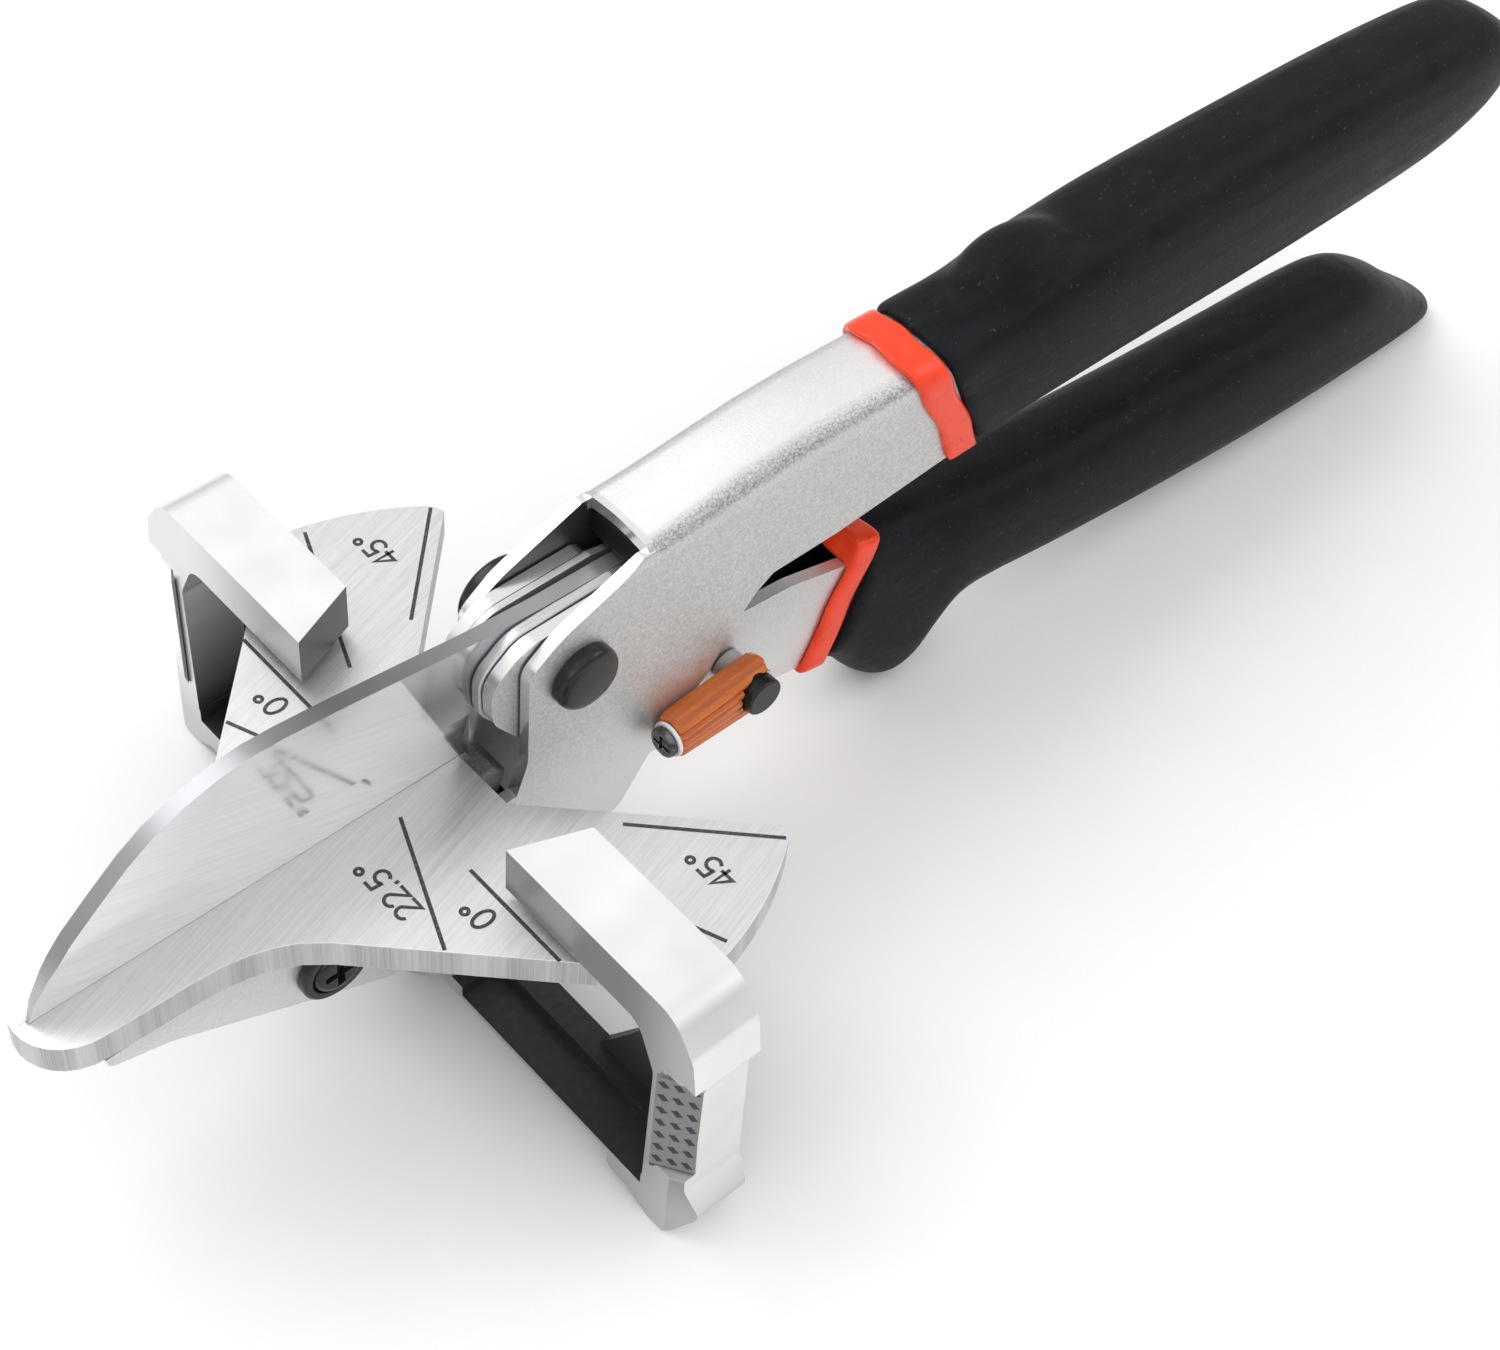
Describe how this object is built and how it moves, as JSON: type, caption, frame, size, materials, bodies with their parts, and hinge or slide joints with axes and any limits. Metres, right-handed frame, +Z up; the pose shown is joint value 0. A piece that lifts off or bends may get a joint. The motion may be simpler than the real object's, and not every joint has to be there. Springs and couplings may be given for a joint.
{
  "type": "multi-angle miter shears",
  "caption": "Hand shears with a straight blade that closes on a slotted angle plate and a swivelling fence for miter cuts in trim and moulding.",
  "frame": {"origin": "middle of the bounding box at ground level, with the shears standing on the fence's feet and the lower handle", "axes": "+X to the blade tip, +Y to the side that carries the latch, +Z up"},
  "size_m": [0.2946, 0.1202, 0.0805],
  "materials": {
    "satin_steel": "bead-blasted satin plating, polished sheet edges",
    "plate_steel": "ground, fine diagonal grain",
    "blade_steel": "mirror ground faces",
    "bright_steel": "bright zinc",
    "cast_silver": "smooth silver paint on a die casting",
    "grey_casting": "dark matte casting",
    "black_oxide": "black oxide, slightly shiny",
    "black_grip": "dipped PVC, matte",
    "black_rubber": "matte",
    "red_band": "glossy orange-red",
    "orange_plastic": "moulded, semi-gloss",
    "white_plastic": "plain"
  },
  "bodies": {
    "frame": {"frame_channel": "satin_steel", "bumper_block": "black_rubber", "upper_grip": "black_grip", "upper_band": "red_band", "angle_plate": "plate_steel", "plate_block": "grey_casting", "clamp_screw": "black_oxide", "clamp_washer": "black_oxide", "clamp_nut": "bright_steel", "pivot_bolt": "black_oxide", "pivot_nut": "black_oxide", "fence_bolt": "black_oxide", "fence_washer": "black_oxide", "fence_nut": "black_oxide"},
    "lower_handle": {"lower_channel": "satin_steel", "lower_grip": "black_grip", "lower_band": "red_band", "blade": "blade_steel", "blade_clamp_right": "bright_steel", "blade_clamp_left": "bright_steel", "cross_pin": "black_oxide", "latch_pin": "black_oxide"},
    "latch": {"latch_lever": "orange_plastic", "latch_screw": "bright_steel", "latch_washer": "white_plastic"},
    "fence": {"fence_bracket": "cast_silver", "detent_plunger": "black_oxide"}
  },
  "joints": [
    {"name": "handle_open", "type": "hinge", "parent": "lower_handle", "child": "frame", "pos_m": [0.0637, 0, 0.0545], "axis": [0, 1, 0], "range_deg": [0, 30]},
    {"name": "latch_swing", "type": "hinge", "parent": "lower_handle", "child": "latch", "pos_m": [0.0343, 0.01, 0.0329], "axis": [0, 1, 0], "range_deg": [0, 35]},
    {"name": "fence_swing", "type": "hinge", "parent": "frame", "child": "fence", "pos_m": [0.0821, 0, 0.0415], "axis": [0, 0, 1], "range_deg": [-45, 45]}
  ]
}
